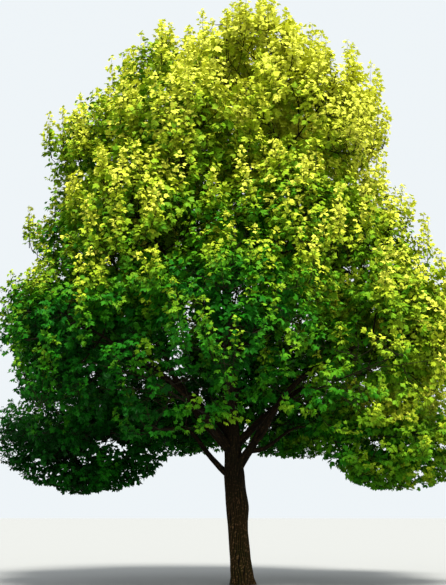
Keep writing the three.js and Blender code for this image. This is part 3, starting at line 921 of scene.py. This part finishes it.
# Leaves: a blade with five lobes, folded along its midrib, on a narrow stalk
leafSettings = {
    "length": 0.092,         # of a blade
    "play": 0.22,            # share that lengths vary
    "shade": 1.0,            # share by which leaves are longer in the shade
    "young": 0.3,            # share by which leaves are shorter at a plume's tip
    "shed": 0.34,            # share of leaves missing in full shade
    "stalk": 0.34,           # share of the blade's length
    "spread": (59.8, 36.4),  # degrees between shoot and leaf, at its foot and at its tip
    "spreadPlay": 14.0,
    "turnPlay": 25.0,
    "shootShares": (0.6, 1),  # places of pairs along a shoot
    "tipShares": (0.8, 1),   # and at the end of a plume
    "droopPlay": (0.4, 1.4),  # times how far leaves hang
    "lift": 0.55,            # how much faces look up rather than outward
    "level": 0.3,            # share of the outward look's rise that is left
    "tumble": 0.5,           # how far chance turns a face
    "limbRoom": 0.02,        # from a leaf's root to a limb's bark
    "keySteps": (0.37, 0.19),  # from pair to pair and from leaf to leaf of a pair
    # corners of the right half, then the tip: across, along and out, as shares of the length
    "lobes": [(0.40, 0.02, -0.14), (0.55, 0.52, -0.26), (0.25, 0.57, -0.07)],
    "tip": (0.0, 1.0, -0.28),
    "heel": (0.05, 0.04, 0.0),  # where the stalk joins
}


def leafPattern(s):
    # corners: the stalk's root, the blade's foot, its heel, three on each side, the tip
    shift = np.array([0.0, s["stalk"], 0.0])
    mirror = np.array([-1.0, 1.0, 1.0])
    right = np.array(s["lobes"])
    blade = [np.zeros((1, 3)), [s["heel"]], right, right * mirror, [s["tip"]]]
    corners = np.concatenate([np.zeros((1, 3)), np.concatenate(blade) + shift])
    faces = [(0, 2, 1), (1, 3, 4), (1, 4, 5), (1, 5, 9), (1, 7, 6), (1, 8, 7), (1, 9, 8)]
    return corners, np.array(faces)


def growLeaves(mass, twigs, shares, s):
    # opposite pairs along each twig; a leaf leaves at an angle, droops, and looks up and outward
    roots, ways, keys, owners = [], [], [], []
    for node, share in enumerate(shares):
        spot, along = pointsOn(twigs, share)
        for number, hand in enumerate((-1.0, 1.0)):
            key = twigs["key"] + node * s["keySteps"][0] + number * s["keySteps"][1]
            turn = np.radians(90.0 * (node % 2) + s["turnPlay"] * swing(key, 11))
            spread = np.radians(mix(*s["spread"], share) + s["spreadPlay"] * swing(key, 12))
            ways.append(pairWays(along, turn, spread, hand))
            roots.append(spot)
            keys.append(key)
            owners.append(np.arange(len(key)))
    roots, ways, keys, owners = map(np.concatenate, (roots, ways, keys, owners))
    droop = habits[mass["row"]]["droop"] * mix(*s["droopPlay"], chance(keys, 13))
    ways = unit(ways - droop[:, None] * up)
    outward = unit((roots - mass["heart"]) * np.array([1.0, 1.0, s["level"]]))
    tumble = np.stack([swing(keys, 14), swing(keys, 15), swing(keys, 16)], axis=-1)
    face = s["lift"] * up + (1.0 - s["lift"]) * outward + s["tumble"] * tumble
    shade = shadeOf(mass, roots)
    length = s["length"] * (1.0 + s["play"] * swing(keys, 17))
    length *= (1.0 + s["shade"] * shade) * (1.0 - s["young"] * twigs["share"][owners] ** 2)
    tips = roots + ways * (length * (1.0 + s["stalk"]))[:, None]
    kept = isInside(mass, tips) & clearOfLimbs(roots, s["limbRoom"])
    kept &= chance(keys, 18) >= s["shed"] * shade
    return {"root": roots[kept], "way": ways[kept], "face": face[kept], "length": length[kept],
            "tint": tintOf(mass, twigs)[owners[kept]], "key": keys[kept]}


def leafSurface(leaves):
    # corner = root + length (x across + y along + z out)
    corners, pattern = leafPattern(leafSettings)
    across = unit(np.cross(leaves["way"], leaves["face"]))
    out = np.cross(across, leaves["way"])
    axes = np.stack([across, leaves["way"], out], axis=1) * leaves["length"][:, None, None]
    points = leaves["root"][:, None, :] + np.einsum("kj,njc->nkc", corners, axes)
    faces = pattern[None] + (np.arange(len(points)) * len(corners))[:, None, None]
    return points.reshape(-1, 3), faces.reshape(-1, 3)


# Tints, from the deep green of the shade to the gold of the sunlit tips, in screen colours
tints = [
    {"name": "leavesShade", "colour": (4, 56, 2), "slot": "leaves_deep"},
    {"name": "leavesDeep", "colour": (9, 72, 4), "slot": "leaves_deep"},
    {"name": "leavesForest", "colour": (22, 91, 6), "slot": "leaves_mid"},
    {"name": "leavesMid", "colour": (43, 108, 8), "slot": "leaves_mid"},
    {"name": "leavesClear", "colour": (69, 124, 12), "slot": "leaves_green"},
    {"name": "leavesGreen", "colour": (97, 139, 17), "slot": "leaves_green"},
    {"name": "leavesFresh", "colour": (125, 155, 25), "slot": "leaves_fresh"},
    {"name": "leavesLime", "colour": (154, 173, 34), "slot": "leaves_fresh"},
    {"name": "leavesGold", "colour": (184, 194, 50), "slot": "leaves_gold"},
    {"name": "leavesSun", "colour": (212, 216, 74), "slot": "leaves_gold"},
]
tintRule = {
    "height": 0.92,          # weight of the height: painted light, brighter toward the lit top
    "tip": 0.16,             # weight of the place on its plume: painted sunlight on the plumes' exposed tips
    "sun": 0.24,             # weight of nearness to the crown's outside: painted sun there, painted shade deeper in
    "right": 0.28,           # weight of the place to the right, which counts more lower down: painted light on the lamp's side
    "halfWidth": 5.0,        # of the crown
    "lead": 0.33,            # weight of the place on a leader, in full above the height named next: painted sunlight on the leaders at the crown's outside
    "leadHeight": 0.6,       # share of the tree's height
    "plumePlay": 0.08,
    "shootPlay": 0.05,
    "offset": -0.19,
}
# Broad patches of sun and shade, by place across the crown and height
patches = [
    {"middle": (-2.5, 7.2), "size": (1.5, 1.7), "weight": 0.19},
    {"middle": (-0.3, 5.5), "size": (1.3, 1.7), "weight": -0.15},
    {"middle": (-3.0, 3.0), "size": (1.8, 1.2), "weight": -0.06},
    {"middle": (-2.2, 11.4), "size": (1.2, 1.0), "weight": -0.13},
    {"middle": (3.6, 4.2), "size": (1.3, 1.6), "weight": 0.16},
    {"middle": (-0.6, 9.9), "size": (1.6, 1.2), "weight": 0.09},
    {"middle": (0.1, 12.2), "size": (1.5, 1.2), "weight": 0.12},
    {"middle": (2.2, 10.3), "size": (1.2, 1.6), "weight": 0.14},
    {"middle": (-0.2, 3.2), "size": (1.8, 1.0), "weight": 0.03},
]


def tintOf(mass, twigs):
    # a weighted sum of painted light by height, place on the plume, sun and side, of chance, and of patches
    # of painted sun and shade that fade as e^-d^2
    rule, spot = tintRule, twigs["c"]
    height = spot[:, 2] / crownSettings["treeHeight"]
    leading = twigs["leads"] * twigs["share"] * np.minimum(height / rule["leadHeight"], 1.0)
    score = rule["offset"] + rule["height"] * height + rule["tip"] * twigs["share"]
    score += rule["sun"] * (1.0 - shadeOf(mass, spot))
    score += rule["right"] * spot[:, 0] / rule["halfWidth"] * (1.0 - height / 2)
    score += rule["lead"] * leading
    score += rule["plumePlay"] * swing(twigs["plume"], 21)
    score += rule["shootPlay"] * swing(twigs["key"], 22)
    for patch in patches:
        away = (spot[:, [0, 2]] - np.array(patch["middle"])) / np.array(patch["size"])
        score += patch["weight"] * np.exp(-(away ** 2).sum(-1))
    return np.clip((score * len(tints)).astype(int), 0, len(tints) - 1)


# Materials

def linear(colour):
    # screen value c to light: c / 12.92 below 0.04045, else ((c + 0.055) / 1.055)^2.4
    values = [c / 255 for c in colour]
    return tuple(c / 12.92 if c <= 0.04045 else ((c + 0.055) / 1.055) ** 2.4 for c in values) + (1.0,)


def scaled(colour, share):
    # the colour times the share, still opaque
    return tuple(c * share for c in colour[:3]) + (1.0,)


def addNode(nodes, kind, values, colours=False):
    # a node with values on its sockets by name; a mix node may mix colours
    node = nodes.new(kind)
    if colours:
        node.data_type = "RGBA"
    for label, value in values.items():
        node.inputs[label].default_value = value
    return node


def join(links, *pairs):
    # each pair: a node and its output, a node and its input
    for source, output, target, socket in pairs:
        links.new(source.outputs[output], target.inputs[socket])


mottleEdges = (0.32, 0.68)   # the noise is all dark below the first and all light above the second


def makeMottle():
    # light and dark versions of a colour mixed by soft noise in object coordinates
    group = bpy.data.node_groups.new("mottle", "ShaderNodeTree")
    for label, kind in (("Light", "Color"), ("Dark", "Color"), ("Scale", "Float"), ("Detail", "Float")):
        group.interface.new_socket(name=label, in_out="INPUT", socket_type="NodeSocket" + kind)
    for label, kind in (("Colour", "Color"), ("Mask", "Float")):
        group.interface.new_socket(name=label, in_out="OUTPUT", socket_type="NodeSocket" + kind)
    nodes = group.nodes
    ins = nodes.new("NodeGroupInput")
    outs = nodes.new("NodeGroupOutput")
    place = nodes.new("ShaderNodeTexCoord")
    noise = nodes.new("ShaderNodeTexNoise")
    ramp = addNode(nodes, "ShaderNodeMapRange", {"From Min": mottleEdges[0], "From Max": mottleEdges[1]})
    ramp.interpolation_type = "SMOOTHSTEP"
    blend = addNode(nodes, "ShaderNodeMix", {}, True)
    join(group.links, (place, "Object", noise, "Vector"), (ins, "Scale", noise, "Scale"),
         (ins, "Detail", noise, "Detail"), (noise, "Fac", ramp, "Value"), (ramp, "Result", blend, "Factor"),
         (ins, "Dark", blend, "A"), (ins, "Light", blend, "B"), (blend, "Result", outs, "Colour"),
         (ramp, "Result", outs, "Mask"))
    return group


mottle = makeMottle()


def newMaterial(name, roughness, specular=0.5):
    # a material with its nodes, links and shader
    material = bpy.data.materials.new(name)
    material.use_nodes = True
    shader = material.node_tree.nodes["Principled BSDF"]
    shader.inputs["Roughness"].default_value = roughness
    shader.inputs["Specular IOR Level"].default_value = specular
    return material, material.node_tree.nodes, material.node_tree.links, shader


def addMottle(nodes, *values):
    # values: the light colour, the dark colour, the noise's scale and its detail
    node = nodes.new("ShaderNodeGroup")
    node.node_tree = mottle
    for label, value in zip(("Light", "Dark", "Scale", "Detail"), values):
        node.inputs[label].default_value = value
    return node


# For each plain finish: how much lighter and darker it gets, and how finely
finishes = {
    "leaf": {"light": 1.16, "dark": 0.84, "scale": 7.0, "detail": 1.0, "roughness": 0.55, "specular": 0.08},
    "twig": {"light": 1.3, "dark": 0.6, "scale": 9.0, "detail": 2.0, "roughness": 0.8, "specular": 0.1},
}


def plainMaterial(name, colour, s):
    # one colour with slow changes of tone
    material, nodes, links, shader = newMaterial(name, s["roughness"], s["specular"])
    colour = linear(colour)
    tone = addMottle(nodes, scaled(colour, s["light"]), scaled(colour, s["dark"]), s["scale"], s["detail"])
    join(links, (tone, "Colour", shader, "Base Color"))
    return material


barkSettings = {
    "ridge": (58, 42, 16),
    "moss": (46, 42, 12),
    "fleck": (128, 96, 62),
    # painted shade: the furrows' near-black, which the crown's painted shade also darkens toward
    "furrowShade": (10, 6, 1),
    "twig": (30, 27, 12),
    "mossNoise": (4.0, 3.0),  # scale and detail
    "fleckNoise": (24.0, 3.0),
    "grainNoise": (60.0, 4.0),
    "roughness": 0.9,
    "specular": 0.1,
    "fleckFrom": 0.68,       # only the noise above this shows as flecks
    "fleckMost": 0.8,
    "relief": (0.35, 0.95),  # from furrow to ridge
    "shadeFrom": 0.7,          # height at which painted shade of the crown begins to darken the bark
    "shadeTo": 2.1,
    "shadeMost": 0.8,
    "grainStrength": 0.5,
    "grainDepth": 0.006,
}


def barkMaterial(s):
    # furrows given painted shade by the mesh's relief, ridges brown with moss and pale flecks, and painted
    # shade of the crown that darkens the bark up to the fork
    material, nodes, links, shader = newMaterial("bark", s["roughness"], s["specular"])
    white = (1.0, 1.0, 1.0, 1.0)
    black = (0.0, 0.0, 0.0, 1.0)
    ridge = addMottle(nodes, linear(s["ridge"]), linear(s["moss"]), *s["mossNoise"])
    grain = addMottle(nodes, white, black, *s["grainNoise"])
    flecks = addMottle(nodes, white, black, *s["fleckNoise"])
    peaks = addNode(nodes, "ShaderNodeMapRange", {"From Min": s["fleckFrom"], "To Max": s["fleckMost"]})
    pale = addNode(nodes, "ShaderNodeMix", {"B": linear(s["fleck"])}, True)
    relief = nodes.new("ShaderNodeAttribute")
    relief.attribute_name = "relief"
    # painted shade in the furrows: where the relief is low, the bark takes the furrows' dark colour
    ramp = addNode(nodes, "ShaderNodeMapRange", {"From Min": s["relief"][0], "From Max": s["relief"][1]})
    tone = addNode(nodes, "ShaderNodeMix", {"A": linear(s["furrowShade"])}, True)
    place = nodes.new("ShaderNodeTexCoord")
    parts = nodes.new("ShaderNodeSeparateXYZ")
    # painted shade of the crown: above the foot, the bark darkens with height toward the furrows' dark
    # colour
    rise = addNode(nodes, "ShaderNodeMapRange",
                   {"From Min": s["shadeFrom"], "From Max": s["shadeTo"], "To Max": s["shadeMost"]})
    crownShade = addNode(nodes, "ShaderNodeMix", {"B": linear(s["furrowShade"])}, True)
    bump = addNode(nodes, "ShaderNodeBump", {"Strength": s["grainStrength"], "Distance": s["grainDepth"]})
    join(links, (relief, "Fac", ramp, "Value"), (ramp, "Result", tone, "Factor"),
         (flecks, "Mask", peaks, "Value"), (peaks, "Result", pale, "Factor"), (ridge, "Colour", pale, "A"),
         (pale, "Result", tone, "B"), (place, "Object", parts, "Vector"), (parts, "Z", rise, "Value"),
         (rise, "Result", crownShade, "Factor"), (tone, "Result", crownShade, "A"), (crownShade, "Result", shader, "Base Color"),
         (grain, "Mask", bump, "Height"), (bump, "Normal", shader, "Normal"))
    return material


def dress(piece, material, nodes):
    # one material, the root body, and the model's nodes that the piece stands for, hidden
    piece.data.materials.append(material)
    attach(piece, "root")
    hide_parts(*nodes)


bark = barkMaterial(barkSettings)
dress(makeTrunk(trunkSettings), bark, ["trunk"])
for tier in tiers:
    members = [name for name, bough in boughs.items() if bough["tier"] == tier["name"]]
    dress(makeBoughs(tier["name"], boughSettings), bark, members)
print("trunk and boughs are made")

frames = [growFrame(mass) for mass in masses]
thinTwigs(frames, "plumes", growth["cell"])
thinTwigs(frames, "leaders", growth["leaderCell"])
for part in frames:
    growShoots(part)
foliageNodes = [mass["name"] for mass in masses]
twigLook = plainMaterial("twigBark", barkSettings["twig"], finishes["twig"])


def allTwigs(kind):
    # the twigs of a kind from every mass, with what their surface needs
    names = ("a", "b", "c", "base", "tip", "key")
    twigs = joinTwigs([{name: part[kind][name] for name in names} for part in frames])
    print("grew", len(twigs["key"]), kind)
    return twigs


# For each kind of twig in a piece, how many sides and rings it has
twigPieces = {
    "twigs": {"stem": (8, 8), "branches": (6, 6), "branchlets": (4, 3), "leaders": (4, 4)},
    "shoots": {"plumes": (3, 2), "shoots": (3, 1)},
}
for name, kinds in twigPieces.items():
    grown = [(allTwigs(kind), *counts) for kind, counts in kinds.items()]
    dress(makeTwigs(name, grown), twigLook, foliageNodes)

leafGroups = []
for part in frames:
    leafGroups.append(growLeaves(part["mass"], part["shoots"], leafSettings["shootShares"], leafSettings))
    for kind in ("plumes", "leaders"):
        twigs = part[kind]
        ends = {**twigs, "share": np.ones(len(twigs["key"])), "plume": twigs["key"],
                "leads": np.full(len(twigs["key"]), float(kind == "leaders"))}
        leafGroups.append(growLeaves(part["mass"], ends, leafSettings["tipShares"], leafSettings))
leaves = joinTwigs(leafGroups)
for number, tint in enumerate(tints):
    points, faces = leafSurface(pickTwigs(leaves, leaves["tint"] == number))
    leafLook = plainMaterial(tint["name"], tint["colour"], finishes["leaf"])
    dress(meshFromArrays(tint["name"], points, faces), leafLook, foliageNodes)
    print(tint["name"], len(faces), "faces")
print("leaves in all", len(leaves["key"]))


# Plain pale floor and soft studio light
studio = {
    "floorSize": 300.0,
    "floorColour": (0.32, 0.32, 0.315, 1.0),
    "floorRoughness": 0.9,
    "skyColour": (0.86, 0.91, 0.94, 1.0),
    "skyStrength": 1.0,
    "keyStrength": 6.5,
    "keyColour": (1.0, 0.99, 0.92),
    "keySoftness": 18.0,     # degrees across
    "keyAzimuth": 14.0,      # degrees to the right of the view
    "keyElevation": 58.0,
}


def makeStudio(s):
    # a wide floor, one soft lamp high behind the camera and an even sky
    half = s["floorSize"] / 2
    corners = np.array([(-half, -half, 0), (half, -half, 0), (half, half, 0), (-half, half, 0)])
    floor = meshFromArrays("floor", corners, np.array([(0, 1, 2, 3)]))
    material, _, _, shader = newMaterial("floor", s["floorRoughness"])
    shader.inputs["Base Color"].default_value = s["floorColour"]
    floor.data.materials.append(material)
    lamp = bpy.data.lights.new("key", "SUN")
    lamp.energy = s["keyStrength"]
    lamp.color = s["keyColour"]
    lamp.angle = math.radians(s["keySoftness"])
    key = bpy.data.objects.new("key", lamp)
    toward = Vector(heading(s["keyAzimuth"] - 90.0, s["keyElevation"]))
    key.rotation_euler = toward.to_track_quat("Z", "Y").to_euler()
    bpy.context.scene.collection.objects.link(key)
    world = bpy.data.worlds.new("studio")
    world.use_nodes = True
    sky = world.node_tree.nodes["Background"]
    sky.inputs["Color"].default_value = s["skyColour"]
    sky.inputs["Strength"].default_value = s["skyStrength"]
    bpy.context.scene.world = world
    bpy.context.scene.view_settings.view_transform = "Standard"


makeStudio(studio)
print("done")
